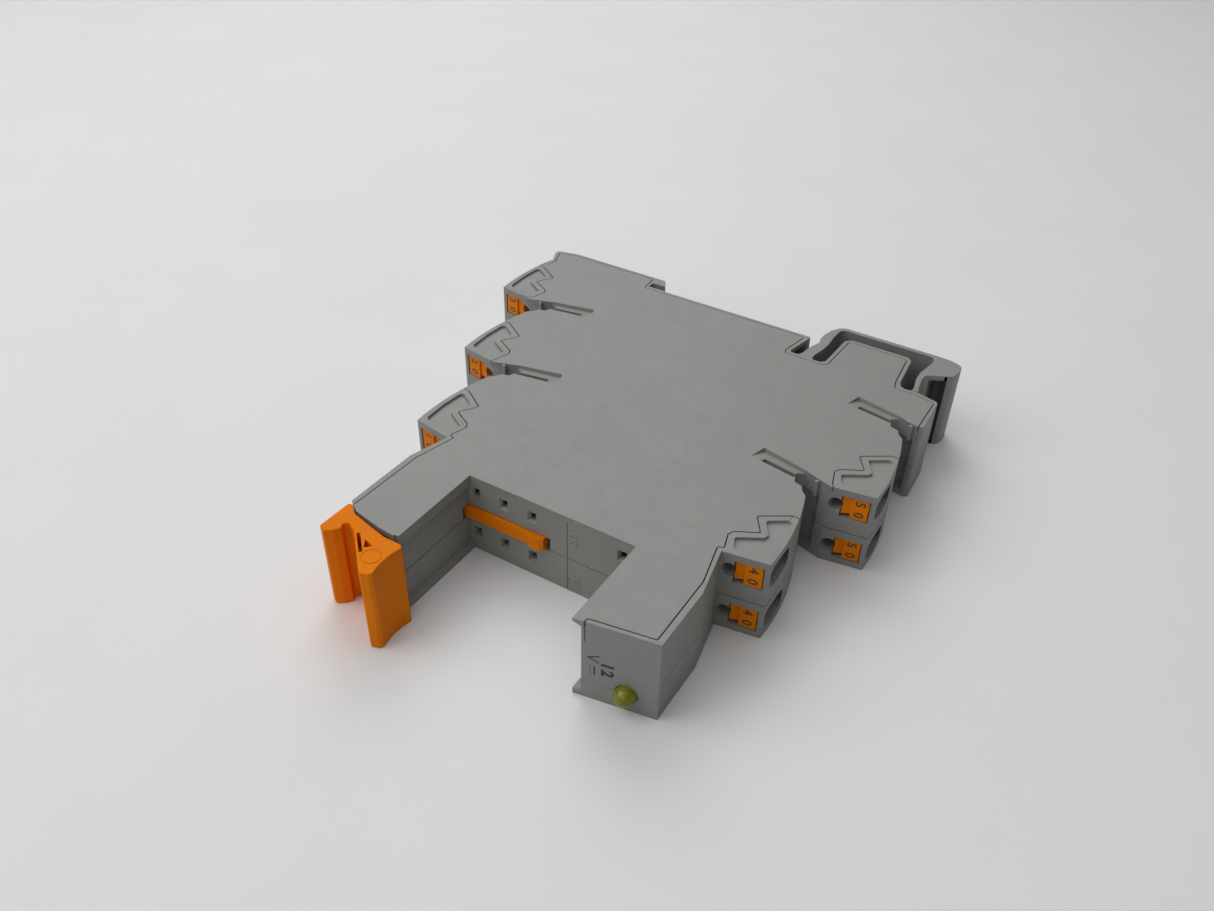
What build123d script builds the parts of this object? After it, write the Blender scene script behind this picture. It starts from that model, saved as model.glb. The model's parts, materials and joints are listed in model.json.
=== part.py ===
from build123d import *
import math
import os

# A 14 mm wide relay base for a 35 mm DIN rail, lying on its side face.
# X runs across the rail's 35 mm width, Y from the relay bay to the rail, Z across the module's width.
# The shapes are drawn from a datum: x = 0 midway between the two terminal stacks, y = 0 on the floor of
# the relay bay, z = 0 on the underside. SHIFT_X and SHIFT_Y then bring the footprint's centre to the origin.

# ---- driving dimensions, millimetres and degrees ----
WIDTH = 14.0
SKIN = 1.0
COVER_Z = WIDTH - SKIN
PARTING_Z = 6.3
SEAM = 0.12
RIM_GAP = 0.16
SHIFT_X = 3.5
SHIFT_Y = -22.95

RAIL_FACE_Y = 63.2
HOOK_X = -21.4
HOOK_SLOT = (63.4, 64.9)
BACK_Y = 66.9
REAR_RADIUS = 0.8
COVER_RADIUS = 0.35

BAY_LEFT = -15.4
BAY_RIGHT = 14.3
FLANGE_LEFT = -14.74
FLANGE_RIGHT = 13.12
FLANGE_ROOT = 1.3
SKIRT_Z = 12.2
LEFT_ARM_END = -15.9
RIGHT_ARM_END = -15.35
LAMP_ARM_CORNER = (24.8, -13.5)
NOTCH_HOLLOW_TOP = 11.1
SEAM_SLOT = 0.16
FLOOR_WALL = 1.2

TIER_STEP = (7.0, 20.8)
TIERS = {"left": (0, 1, 2), "right": (0, 1)}
LEVELS = {"lower": 3.0, "upper": 10.85}
FACE_CORNER = (23.2, 5.45)
FACE_ANGLE = 8.9

SLOT_U = (1.9, 6.1)
SLOT_HALF_Z = 1.95
SLOT_DEPTH = 2.5
STEM_SLOT_U = (1.9, 4.1)
STEM_SLOT_HALF_Z = 1.5
CLAMP_U = (0.9, 5.6)
CLAMP_V = (6.5, 13.8)
CLAMP_HALF_Z = 2.0
PUSHER_GAP = 0.1
PUSHER_TIP = 6.9
PROBE_U = 1.2
PROBE_RADIUS = 0.95
PROBE_MOUTH = 1.2
PROBE_DEPTH = 7.0
PROBE_RISE = 0.15
FUNNEL_MOUTH = 4.0
FUNNEL_THROAT = 2.6
FUNNEL_CENTRE = (29.95, 10.3)
WIRE_DIRECTION = (-0.6, 0.8, 0.0)

CONTACT_X = (-13.95, -8.95, -3.95)
COIL_X = 11.05
CONTACT_Z = {"lower": 3.55, "upper": 11.05}

PIVOT = (-18.8, 2.0)
PIN_RADIUS = 1.0
PIN_FIT = 0.04
HUB_RADIUS = 2.2
LEVER_Z = (5.0, 9.4)
BAR_Z = (6.15, 8.3)
BAR_TIP = -1.7
BRACKET_ROUNDING = 0.3
BRACKET_EDGE = 0.2

LED_CENTRE = (20.5, 3.0)
LED_RADIUS = 1.5
LED_DOME_Y = -14.6
LAMP_CHAMBER_Y = -12.4
BOARD_Z = (6.9, 7.7)

# A curve that would start nearer than this to its corner is left as a sharp corner.
SHARP = 0.05


# ---- helpers ----
def prism(points, bottom, top):
    return extrude(Pos(0, 0, bottom) * make_face(Polyline(*points, close=True)), top - bottom)


def block(x0, x1, y0, y1, z0, z1):
    box = Box(x1 - x0, y1 - y0, z1 - z0)
    return Pos((x0 + x1) / 2, (y0 + y1) / 2, (z0 + z1) / 2) * box


def curved(points, radius):
    """A line in plan whose inner corners turn on curves of about this radius, where there is room."""
    corners = [complex(*point) for point in points]
    line = corners[:1]
    for before, corner, after in zip(corners, corners[1:], corners[2:]):
        back = (before - corner) / abs(before - corner)
        ahead = (after - corner) / abs(after - corner)
        reach = radius * abs(back + ahead) / abs(back - ahead)
        reach = min(reach, 0.45 * abs(before - corner), 0.45 * abs(after - corner))
        shares = (0.0, 0.25, 0.5, 0.75, 1.0) if reach > SHARP else (0.5,)
        line += [corner + reach * (back * (1 - share) ** 2 + ahead * share ** 2) for share in shares]
    line += corners[-1:]
    return [(point.real, point.imag) for point in line]


def rounded(points, radius):
    """A closed outline with every corner turned on a curve."""
    return curved([*points[-1:], *points, *points[:1]], radius)[1:-1]


def inset(points, distance):
    """A closed outline moved inward, mitred at its corners."""
    corners = [complex(*point) for point in points]
    area = sum((a.conjugate() * b).imag for a, b in zip(corners, corners[1:] + corners[:1]))
    inward = math.copysign(1.0, area) * 1j
    moved = []
    for before, corner, after in zip(corners[-1:] + corners[:-1], corners, corners[1:] + corners[:1]):
        first = inward * (corner - before) / abs(corner - before)
        second = inward * (after - corner) / abs(after - corner)
        point = corner + distance * (first + second) / (1 + (first.conjugate() * second).real)
        moved.append((point.real, point.imag))
    return moved


def strip(points, thickness, bottom, top):
    """A strip on edge that follows a line in plan, with round bends."""
    post = Cylinder(thickness / 2, top - bottom)
    pieces = [Pos(x, y, (bottom + top) / 2) * post for x, y in points[1:-1]]
    for start, end in zip(points, points[1:]):
        turn = math.degrees(math.atan2(end[1] - start[1], end[0] - start[0]))
        centre = ((start[0] + end[0]) / 2, (start[1] + end[1]) / 2, (bottom + top) / 2)
        slab = Box(math.dist(start, end), thickness, top - bottom)
        pieces.append(Pos(*centre) * Rot(0, 0, turn) * slab)
    return sum_of(pieces)


def sum_of(shapes):
    total = shapes[0]
    for shape in shapes[1:]:
        total += shape
    return total


def step(point, tier, side="right"):
    """A point of the first right-hand terminal, carried to another tier or side."""
    x = point[0] + tier * TIER_STEP[0]
    y = point[1] + tier * TIER_STEP[1]
    return (x, y) if side == "right" else (-x, y)


def carry(shape, tier, side):
    """A shape of the first right-hand terminal, carried to another tier or side."""
    moved = Pos(tier * TIER_STEP[0], tier * TIER_STEP[1], 0) * shape
    return moved if side == "right" else mirror(moved, about=Plane.YZ)


def on_face(shape):
    """From the terminal's own axes (u along its front face, v into it) to the datum."""
    return Pos(FACE_CORNER[0], FACE_CORNER[1], 0) * Rot(0, 0, FACE_ANGLE) * shape


def face_point(u, v):
    turn = math.radians(FACE_ANGLE)
    x = FACE_CORNER[0] + u * math.cos(turn) - v * math.sin(turn)
    y = FACE_CORNER[1] + u * math.sin(turn) + v * math.cos(turn)
    return (x, y)


def every_terminal():
    for side, tiers in TIERS.items():
        for tier in tiers:
            for level, middle in LEVELS.items():
                yield side, tier, level, middle


def save(shape, name):
    export_step(Pos(SHIFT_X, SHIFT_Y, 0) * shape, f"parts/{name}.step")


# ---- plan of the housing ----
NOTCH = curved([(28.0, 22.3), (27.2, 23.0), (26.7, 24.0), (25.4, 24.35), (24.9, 25.7), (24.7, 26.9),
                (25.9, 27.65), (27.7, 27.0)], 0.4)


def stack_edge(side, tiers):
    """The stepped edge of one terminal stack, tooth fronts and notches, from front to rear."""
    points = []
    for tier in tiers:
        points.append(step(FACE_CORNER, tier, side))
        points += [step(corner, tier, side) for corner in NOTCH]
    return points


def core_plan():
    """The housing's outline without its teeth."""
    left_arm = [(BAY_LEFT, 0), (BAY_LEFT, LEFT_ARM_END), (-18.0, -15.7), (-23.0, -14.8), (-25.1, -13.4),
                (-25.0, -1.0)]
    left_rear = [step(FACE_CORNER, 2, "left"), (-41.2, 61.0), (-42.4, 62.2), (-43.7, 65.3), (-43.4, 66.0),
                 (-39.5, BACK_Y), (-19.8, BACK_Y)]
    rail_face = [(-17.8, RAIL_FACE_Y), (11.5, RAIL_FACE_Y), (11.3, 62.2), (10.2, 57.3), (10.5, 56.8),
                 (11.6, 56.8), (12.0, 57.0), (14.1, 57.0), (14.6, 56.6), (16.0, 56.6), (16.6, 57.4)]
    lobe = [(16.9, 65.2), (17.9, 66.2), (28.0, 66.2), (28.9, 65.3), (29.5, 58.0), (30.0, 56.9),
            (30.6, 56.6), (31.4, 56.6), (31.8, 56.8), (32.8, 56.7)]
    right_rear = [(36.6, 55.7), (36.9, 47.3), (34.4, 47.85)]
    right_arm = [(LAMP_ARM_CORNER[0], -3.0), LAMP_ARM_CORNER, (BAY_RIGHT, RIGHT_ARM_END), (BAY_RIGHT, 0)]
    rear = curved(left_rear + rail_face + lobe + right_rear, REAR_RADIUS)
    right_stack = stack_edge("right", TIERS["right"])[:-1]
    return left_arm + stack_edge("left", (0, 1)) + rear + right_stack[::-1] + right_arm


def tooth(side, tier):
    """One tooth of a terminal stack: straight front, gently bowed outer edge."""
    corner = step(FACE_CORNER, tier, side)
    front = step((29.9, 6.5), tier, side)
    bow = step((29.75, 14.4), tier, side)
    rear = step(NOTCH[0], tier, side)
    edges = [Line(corner, front), ThreePointArc(front, bow, rear), Line(rear, corner)]
    return extrude(make_face(edges), WIDTH)


def housing_block(bottom, top):
    """The housing's full outline between two heights, with the hook's slot cut in."""
    shape = prism(core_plan(), bottom, top)
    slab = block(-60, 60, -30, 90, bottom, top)
    for side, tiers in TIERS.items():
        for tier in tiers:
            shape += tooth(side, tier) & slab
    return shape - block(HOOK_X, -10.0, HOOK_SLOT[0], HOOK_SLOT[1], bottom - 1, top + 1)


def left_flange(bottom, top):
    return block(BAY_LEFT - 0.5, FLANGE_LEFT, LEFT_ARM_END + 0.25, 0, bottom, top)


def lamp_arm_front(x):
    """A point on the slanting end of the lamp's arm, or in line with it."""
    slope = (LAMP_ARM_CORNER[1] - RIGHT_ARM_END) / (LAMP_ARM_CORNER[0] - BAY_RIGHT)
    return (x, RIGHT_ARM_END + slope * (x - BAY_RIGHT))


def right_flange(bottom, top):
    inside = BAY_RIGHT + 0.5
    edge = [lamp_arm_front(FLANGE_RIGHT), lamp_arm_front(inside), (inside, 0), (FLANGE_RIGHT, 0)]
    return prism(edge, bottom, top)


def along_bay(profile, length):
    """A bar from the bay's floor towards its open end, with a profile drawn in X and Z."""
    return Rot(90, 0, 0) * prism(profile, 0, length)


def lower_flanges():
    """The flanges along the foot of both bay walls, each with a hollow curve where it meets its wall."""
    shape = left_flange(0, SKIN) + right_flange(0, SKIN)
    for wall, edge, length in ((BAY_LEFT, FLANGE_LEFT, 15.6), (BAY_RIGHT, FLANGE_RIGHT, 15.3)):
        inside = 2 * wall - edge
        profile = curved([(wall, SKIN + FLANGE_ROOT), (wall, SKIN), (edge, SKIN)], FLANGE_ROOT)
        profile += [(edge, SKIN / 2), (inside, SKIN / 2), (inside, SKIN + FLANGE_ROOT)]
        shape += along_bay(profile, length)
    beyond = [lamp_arm_front(FLANGE_RIGHT - 1), lamp_arm_front(BAY_RIGHT + 2), (BAY_RIGHT + 2, -18),
              (FLANGE_RIGHT - 1, -18)]
    return shape - prism(beyond, 0, WIDTH)


def cover_flanges():
    """The cover's flanges; the right one thins towards its edge."""
    bevel = along_bay([(FLANGE_RIGHT - 1, WIDTH - 0.4), (FLANGE_RIGHT, WIDTH - 0.4), (BAY_RIGHT, COVER_Z),
                       (BAY_RIGHT, COVER_Z - 1), (FLANGE_RIGHT - 1, COVER_Z - 1)], 17.0)
    return left_flange(COVER_Z, WIDTH) + (right_flange(COVER_Z, WIDTH) - bevel)


def cover_region():
    """Where the cover lies: inside the rim, and out to the edge along notches and rear tooth edges."""
    zigzag = [(22.4, 5.95), (23.3, 6.1), (22.45, 9.0), (22.9, 9.85), (26.1, 11.6), (24.2, 14.5),
              (28.3, 17.2), (31.5, 17.0), (31.0, 22.3), (30.6, 26.6)]
    right = [(14.8, -18.0), (14.8, -14.65), (23.9, -13.05), (23.9, -1.0)]
    right += zigzag
    right += [step(point, 1) for point in zigzag[1:7]]
    right += [(38.5, 37.9), (38.0, 47.0), (36.15, 47.0), (36.15, 55.25)]
    rear = [(32.4, 55.9), (29.3, 56.0), (28.8, 58.0), (28.2, 65.0), (27.7, 65.5), (18.1, 65.5),
            (17.6, 64.9), (17.2, 56.6), (16.4, 56.0), (9.8, 56.1), (9.5, 57.0), (10.5, 62.2),
            (10.2, 62.6), (-21.8, 62.6), (-22.0, 66.3), (-39.3, 66.3), (-42.9, 65.5), (-42.6, 64.6),
            (-41.7, 62.0), (-41.9, 60.5), (-45.0, 59.2)]
    left = [step(point, 2, "left") for point in zigzag[6:0:-1]]
    left += [(-46.0, 47.0), (-46.0, 37.8)]
    left += [step(point, 1, "left") for point in zigzag[6:0:-1]]
    left += [(-x, y) for x, y in zigzag[::-1]]
    left += [(-24.0, -1.0), (-24.3, -13.5), (-26.0, -18.0)]
    return rounded(right + rear + left, COVER_RADIUS)


def chambers(bottom, top):
    """The hollow inside the housing, between two heights."""
    plans = [(-18.0, 18.0, FLOOR_WALL, 61.8), (-25.0, 25.0, 32.0, 43.5), (-34.0, 9.0, 50.5, 61.5),
             (8.0, 28.0, 50.5, 55.3), (15.5, 23.5, LAMP_CHAMBER_Y, 3.0), (-24.1, -16.3, -20.0, 2.5),
             (-22.4, -16.3, 2.0, 5.2)]
    return sum_of([block(*plan, bottom, top) for plan in plans])


# ---- what one terminal cuts out of the housing ----
def wire_funnel(middle):
    mouth = Plane(origin=(*FUNNEL_CENTRE, middle), x_dir=(0, 0, 1), z_dir=WIRE_DIRECTION)
    square = mouth * RectangleRounded(FUNNEL_MOUTH, FUNNEL_MOUTH, 1.3)
    outer = extrude(square, 0.3) + extrude(square, -3.0)
    inward = Vector(*WIRE_DIRECTION) * 0.3
    taper = math.degrees(math.atan((FUNNEL_MOUTH - FUNNEL_THROAT) / 2 / 4.0))
    cone = extrude(Pos(*inward) * square, 4.0, taper=taper)
    hole = extrude(mouth * Circle(FUNNEL_THROAT / 2), 6.5)
    return outer + cone + hole


def probe_rod(middle, radius, front, depth):
    """A rod on the test probe's axis, from in front of the terminal's face to a depth behind it."""
    rod = Cylinder(radius, front + depth)
    return Pos(PROBE_U, (depth - front) / 2, middle + PROBE_RISE) * Rot(90, 0, 0) * rod


def probe_hole(middle):
    """The hole beside a pusher that takes a test probe, with a coned mouth."""
    cone = Cone(PROBE_MOUTH, PROBE_RADIUS, 1.1)
    mouth = Pos(PROBE_U, 0.55, middle + PROBE_RISE) * Rot(-90, 0, 0) * cone
    return probe_rod(middle, PROBE_RADIUS, 0.2, PROBE_DEPTH) + mouth


def terminal_cut(middle):
    head = block(*SLOT_U, -3.0, SLOT_DEPTH, middle - SLOT_HALF_Z, middle + SLOT_HALF_Z)
    stem = block(*STEM_SLOT_U, SLOT_DEPTH - 0.1, CLAMP_V[0] + 0.1, middle - STEM_SLOT_HALF_Z,
                 middle + STEM_SLOT_HALF_Z)
    clamp = block(*CLAMP_U, *CLAMP_V, middle - CLAMP_HALF_Z, middle + CLAMP_HALF_Z)
    bus = block(-6.5, CLAMP_U[0] + 0.1, 10.0, 12.4, middle - CLAMP_HALF_Z, middle + CLAMP_HALF_Z)
    return on_face(head + stem + clamp + bus + probe_hole(middle)) + wire_funnel(middle)


def terminal_cuts(level):
    cuts = []
    for side, tier, where, middle in every_terminal():
        if where == level:
            cuts.append(carry(terminal_cut(middle), tier, side))
    # A shallow groove leads a probe past the heel of the left arm to the first terminal.
    groove = on_face(probe_rod(LEVELS[level], 0.8, 12.0, -0.3))
    return cuts + [carry(groove, 0, "left")]


# ---- notch details ----
def notch_slit(tier, side, bottom, top):
    line = [step((19.3, 26.75), tier, side), step((24.95, 25.75), tier, side)]
    return strip(line, 1.0, bottom, top)


def notch_relief(tier, side):
    """A shallow ramp in the cover beside the slit, deepest along its far edge."""
    ramp = Plane(origin=(17.4, 26.4, WIDTH), x_dir=(8.1, -1.0, 0.07), z_dir=(0.03, 0.21, 1.0))
    outline = [(0, 0), (0.45, 3.05), (8.4, 2.3), (8.8, -0.2)]
    wedge = extrude(ramp * make_face(Polyline(*outline, close=True)), 1.5)
    return carry(wedge, tier, side)


def notch_rib(tier, side):
    """The upright rib on the notch's rear wall, standing clear of the cover's edge."""
    rib = block(27.7, 28.3, 26.3, 27.3, NOTCH_HOLLOW_TOP, COVER_Z)
    rib += block(27.7, 28.3, 26.3, 26.75, COVER_Z - 0.1, WIDTH - 0.1)
    return carry(rib, tier, side)


def notch_hollow(tier, side):
    """The deep hollow in the notch's rear wall, under the rib."""
    return carry(block(25.0, 28.6, 26.0, 28.4, SKIN, NOTCH_HOLLOW_TOP), tier, side)


NOTCHES = [("left", 0), ("left", 1), ("right", 0), ("right", 1)]


# ---- relay bay ----
def pin_hole(x, z):
    """A square funnel and the hole behind it, for one relay pin."""
    facing = Plane(origin=(x, 0, z), x_dir=(1, 0, 0), z_dir=(0, 1, 0))
    mouth = facing * Rectangle(1.5, 1.9)
    funnel = extrude(mouth, 0.5, taper=20.0)
    return funnel + block(x - 0.55, x + 0.55, -0.1, FLOOR_WALL + 0.1, z - 0.75, z + 0.75)


def bay_cuts():
    cuts = [pin_hole(x, z) for x in (*CONTACT_X, COIL_X) for z in CONTACT_Z.values()]
    cuts.append(block(BAY_LEFT - 1.5, -0.85, -1.4, FLOOR_WALL + 0.8, BAR_Z[0] - 0.1, BAR_Z[1] + 0.1))
    cuts.append(block(2.05, 2.2, -0.1, SEAM, 0.0, COVER_Z))
    return cuts


# ---- housing pieces ----
def lamp_arm_end(bottom, top):
    """The part of the lamp's arm in front of its chamber, between two heights."""
    return block(BAY_RIGHT, 26.0, -17.0, LAMP_CHAMBER_Y, bottom, top)


def seam_groove():
    """The hairline groove round the lower half where the halves meet, all but on the lamp's arm."""
    bottom = PARTING_Z - SEAM
    plan = core_plan()
    groove = prism(plan, bottom, PARTING_Z) - prism(inset(plan, SEAM), bottom, PARTING_Z)
    grooves = [groove - block(BAY_RIGHT, 26.0, -17.0, -1.0, 0, WIDTH)]
    slab = block(-60, 60, -30, 90, bottom, PARTING_Z)
    for side, tiers in TIERS.items():
        inward = -SEAM if side == "right" else SEAM
        for tier in tiers:
            shape = tooth(side, tier)
            grooves.append((shape - Pos(inward, SEAM, 0) * shape) & slab)
    return grooves


def pin_boss(bottom, top):
    tube = Cylinder(HUB_RADIUS, top - bottom)
    bore = Cylinder(PIN_RADIUS + PIN_FIT / 2, top - bottom)
    return Pos(*PIVOT, (bottom + top) / 2) * (tube - bore)


def lower_housing():
    """The lower half; on the lamp's arm its end wall stops at the lamp's middle."""
    shape = housing_block(0, PARTING_Z) + lower_flanges()
    shape -= lamp_arm_end(LED_CENTRE[1], PARTING_Z + 1)
    shape -= chambers(SKIN, PARTING_Z + 1)
    shape += pin_boss(SKIN, LEVER_Z[0] - 0.15)
    for cut in terminal_cuts("lower") + bay_cuts():
        shape -= cut
    for side, tier in NOTCHES:
        shape -= notch_slit(tier, side, 3.0, WIDTH)
        shape -= notch_hollow(tier, side)
    shape -= led_bore()
    return shape - seam_groove()


def tooth_pocket(tier, side):
    """The shallow label recess on top of a tooth, inside the zigzag."""
    points = [(24.3, 6.9), (23.45, 8.9), (26.9, 10.95), (27.2, 11.7), (25.6, 14.3), (28.3, 16.1),
              (28.8, 15.7), (29.15, 12.0), (29.05, 8.0), (28.6, 7.5)]
    return carry(prism(rounded(points, 0.5), WIDTH - 0.45, WIDTH + 1), tier, side)


def upper_housing():
    """The upper half, with the cover's recess and the upper part of the lamp arm's end wall."""
    shape = housing_block(PARTING_Z, WIDTH)
    shape += housing_block(LED_CENTRE[1], PARTING_Z + 0.1) & lamp_arm_end(LED_CENTRE[1], PARTING_Z + 0.1)
    shape -= led_bore()
    shape -= chambers(PARTING_Z - 1, COVER_Z + 0.1)
    shape -= prism(cover_region(), COVER_Z, WIDTH + 1)
    for cut in terminal_cuts("upper") + bay_cuts():
        shape -= cut
    for side, tier in NOTCHES:
        shape -= notch_slit(tier, side, 3.0, WIDTH)
        shape -= notch_hollow(tier, side)
        shape += notch_rib(tier, side)
    for side, tiers in TIERS.items():
        for tier in tiers:
            shape -= tooth_pocket(tier, side)
    # The cover's seam turns down the side at its two open ends.
    for x, y0, y1, z in [(14.72, -16.0, -15.05, 10.4), (36.07, 47.0, 47.7, 11.3)]:
        shape -= block(x, x + SEAM_SLOT, y0, y1, z, WIDTH + 1)
    return shape


def side_cover():
    """The plate that closes the upper side, with its skirt along the bay and the upper pin boss."""
    region = inset(cover_region(), RIM_GAP)
    shape = (housing_block(COVER_Z, WIDTH) + cover_flanges()) & prism(region, 0, WIDTH + 1)
    skirt = block(BAY_LEFT + 0.02, FLANGE_LEFT, LEFT_ARM_END + 0.25, 0, SKIRT_Z, COVER_Z + 0.1)
    shape += skirt + pin_boss(LEVER_Z[1] + 0.15, COVER_Z)
    for side, tier in NOTCHES:
        shape -= notch_relief(tier, side)
        shape -= notch_slit(tier, side, 3.0, WIDTH + 1)
    return shape


# ---- rail foot ----
def din_foot():
    """The sprung foot: a thin U round the housing's lobe, with a latch nose and a pull pocket."""
    points = [(12.1, 57.35), (12.55, 60.2), (13.35, 62.5), (13.0, 63.6), (13.0, 65.0), (13.5, 67.3),
              (14.5, 68.9), (15.5, 69.5), (31.5, 69.5), (34.2, 69.35), (35.7, 68.95), (36.6, 68.4),
              (36.8, 67.4), (36.75, 66.1),
              (36.5, 64.6), (32.3, 62.4), (32.25, 60.5), (32.8, 57.35), (31.9, 57.35), (31.3, 60.5),
              (31.25, 62.8), (32.0, 66.8), (31.95, 68.0), (31.4, 68.6), (15.6, 68.6), (15.05, 68.0),
              (14.85, 65.5), (15.0, 62.5), (14.8, 60.5), (14.15, 57.35)]
    shape = prism(curved(points, 1.0), 0, WIDTH)
    pocket = prism([(32.9, 61.5), (35.5, 62.8), (35.4, 67.6), (32.9, 68.0)], SKIN, WIDTH - SKIN)
    return shape - pocket


# ---- retaining bracket ----
def bracket_head():
    back = [(-12.85, -22.9), (-13.2, -23.4), (-14.3, -23.85), (-14.95, -23.35), (-20.6, -17.95),
            (-22.2, -17.15), (-22.8, -17.8), (-22.3, -18.5), (-23.0, -19.5), (-24.1, -20.25),
            (-25.2, -19.65), (-25.1, -14.05), (-24.5, -13.95), (-22.9, -15.2), (-19.7, -15.95),
            (-16.3, -16.65), (-13.5, -16.65), (-12.85, -17.1)]
    edges = [ThreePointArc(back[-1], (-13.25, -20.2), back[0]), Polyline(*back)]
    head = extrude(make_face(edges), WIDTH)
    head = fillet(head.edges().filter_by(Axis.Z), BRACKET_ROUNDING)
    head = fillet(head.edges().filter_by(Plane.XY), BRACKET_EDGE)
    slot = strip([(-19.72, -18.02), (-16.92, -20.67)], 0.5, WIDTH - 2.5, WIDTH + 1)
    arrow = prism([(-18.05, -18.5), (-16.3, -18.95), (-17.15, -19.85)], WIDTH - 1.4, WIDTH + 1)
    mark = Pos(-15.1, -20.6, WIDTH) * (Cylinder(1.4, 0.16) - Cylinder(1.27, 0.3))
    return head - slot - arrow - mark


def retaining_bracket():
    """One moulding: head, stem inside the arm, hub on the pivot pin and the bar under the relay."""
    stem = prism([(-21.0, PIVOT[1]), (-16.6, PIVOT[1]), (-17.4, -3.0), (-17.4, -16.9), (-20.8, -16.9),
                  (-20.8, -3.0)], *LEVER_Z)
    hub = Pos(*PIVOT, sum(LEVER_Z) / 2) * Cylinder(HUB_RADIUS, LEVER_Z[1] - LEVER_Z[0])
    bar = block(PIVOT[0], BAR_TIP, -0.5, 1.5, *BAR_Z)
    tip = prism([(-4.7, -0.45), (-4.2, -0.95), (-2.3, -0.95), (BAR_TIP, -0.4), (BAR_TIP, 0.9), (-4.7, 0.9)],
                *BAR_Z)
    shape = bracket_head() + stem + hub + bar + tip
    return shape - Pos(*PIVOT, WIDTH / 2) * Cylinder(PIN_RADIUS + PIN_FIT, WIDTH)


def bracket_pivot_pin():
    return Pos(*PIVOT, (SKIN + COVER_Z) / 2) * Cylinder(PIN_RADIUS, COVER_Z - SKIN)


# ---- terminal pieces ----
def pusher(middle):
    """The button that opens one terminal: printed face, lower step beside the probe hole, stem."""
    half = SLOT_HALF_Z - PUSHER_GAP
    face = block(3.4, SLOT_U[1] - 0.15, 0.15, 1.25, middle - half, middle + half)
    side = [(SLOT_U[0] + PUSHER_GAP, middle - 1.55), (3.3, middle - 1.2), (3.5, middle - 1.2),
            (3.5, middle + half), (SLOT_U[0] + PUSHER_GAP, middle + half)]
    plate = make_face(Polyline(*[(u, 0, z) for u, z in side], close=True))
    lower_step = Pos(0, 0.45, 0) * extrude(plate, 0.8, dir=(0, 1, 0))
    stem = block(STEM_SLOT_U[0] + PUSHER_GAP, STEM_SLOT_U[1] - PUSHER_GAP, 1.2, PUSHER_TIP,
                 middle - STEM_SLOT_HALF_Z + PUSHER_GAP, middle + STEM_SLOT_HALF_Z - PUSHER_GAP)
    return on_face(face + lower_step + stem - probe_rod(middle, PROBE_RADIUS, 1.0, PUSHER_TIP + 1.0))


def clamp_spring(middle):
    leaf = [(1.9, 13.1), (4.6, 13.3), (5.1, 12.2), (3.1, 8.5), (2.2, 8.5)]
    return on_face(strip(leaf, 0.35, middle - 1.3, middle + 1.3))


def contact_socket(x, z):
    """A forked spring contact for one relay pin, open towards the bay."""
    shape = strip([(x - 0.85, 6.6), (x + 0.85, 6.6)], 0.4, z - 1.1, z + 1.1)
    for hand in (-1, 1):
        leaf = [(x + hand * 0.85, 6.8), (x + hand * 0.4, 3.2), (x + hand * 0.75, 1.6)]
        shape += strip(leaf, 0.35, z - 1.1, z + 1.1)
    return shape


def contact_bar(tier, level):
    """One stamping from a left-hand terminal to its relay contact."""
    z = CONTACT_Z[level]
    x = CONTACT_X[tier]
    start = step(face_point(1.45, 7.4), tier, "left")
    corner = step(face_point(1.45, 11.2), tier, "left")
    exit_point = step(face_point(-3.0, 11.2), tier, "left")
    line = [start, corner, exit_point, (x, exit_point[1]), (x, 6.6)]
    middle = LEVELS[level]
    return strip(line, 0.6, middle - 1.0, middle + 1.0) + contact_socket(x, z)


def supply_bar(tier):
    """The plate that joins the two right-hand terminals of a tier and feeds the board."""
    start = step(face_point(1.45, 7.4), tier)
    corner = step(face_point(1.45, 11.2), tier)
    exit_point = step(face_point(-4.0, 11.2), tier)
    ends = {0: [(17.55, 19.0)], 1: [(17.0, exit_point[1]), (17.0, 21.5)]}
    clips = strip([start, corner, exit_point], 0.6, LEVELS["lower"] - 1.0, LEVELS["lower"] + 1.0)
    clips += strip([start, corner, exit_point], 0.6, LEVELS["upper"] - 1.0, LEVELS["upper"] + 1.0)
    web = strip([exit_point, *ends[tier]], 0.6, LEVELS["lower"] - 1.0, LEVELS["upper"] + 1.0)
    return clips + web


def coil_socket(level):
    z = CONTACT_Z[level]
    foot = (z + 1.0, BOARD_Z[0]) if level == "lower" else (BOARD_Z[1], z - 1.0)
    return contact_socket(COIL_X, z) + block(COIL_X - 0.5, COIL_X + 0.5, 6.4, 6.8, *foot)


# ---- electronics ----
def circuit_board():
    outline = [(9.2, 2.2), (16.2, 2.2), (16.2, -11.8), (23.0, -11.8), (23.0, 1.8), (17.8, 2.8),
               (17.2, 15.8), (16.2, 22.0), (9.2, 22.0)]
    board = prism(outline, *BOARD_Z)
    for x, y in [(19.2, -9.6), (21.8, -9.6), (12.0, 12.0), (14.6, 18.0)]:
        board -= Pos(x, y, BOARD_Z[0]) * Cylinder(0.3, 4.0)
    return board


def led_bore():
    x, z = LED_CENTRE
    return Pos(x, -14.0, z) * Rot(90, 0, 0) * Cylinder(LED_RADIUS + 0.06, 5.0)


def led_lens():
    x, z = LED_CENTRE
    barrel = Pos(x, (LED_DOME_Y - 11.2) / 2, z) * Rot(90, 0, 0) * Cylinder(LED_RADIUS, -11.2 - LED_DOME_Y)
    collar = Pos(x, -11.7, z) * Rot(90, 0, 0) * Cylinder(1.9, 1.0)
    return barrel + collar + Pos(x, LED_DOME_Y, z) * Sphere(LED_RADIUS)


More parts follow.
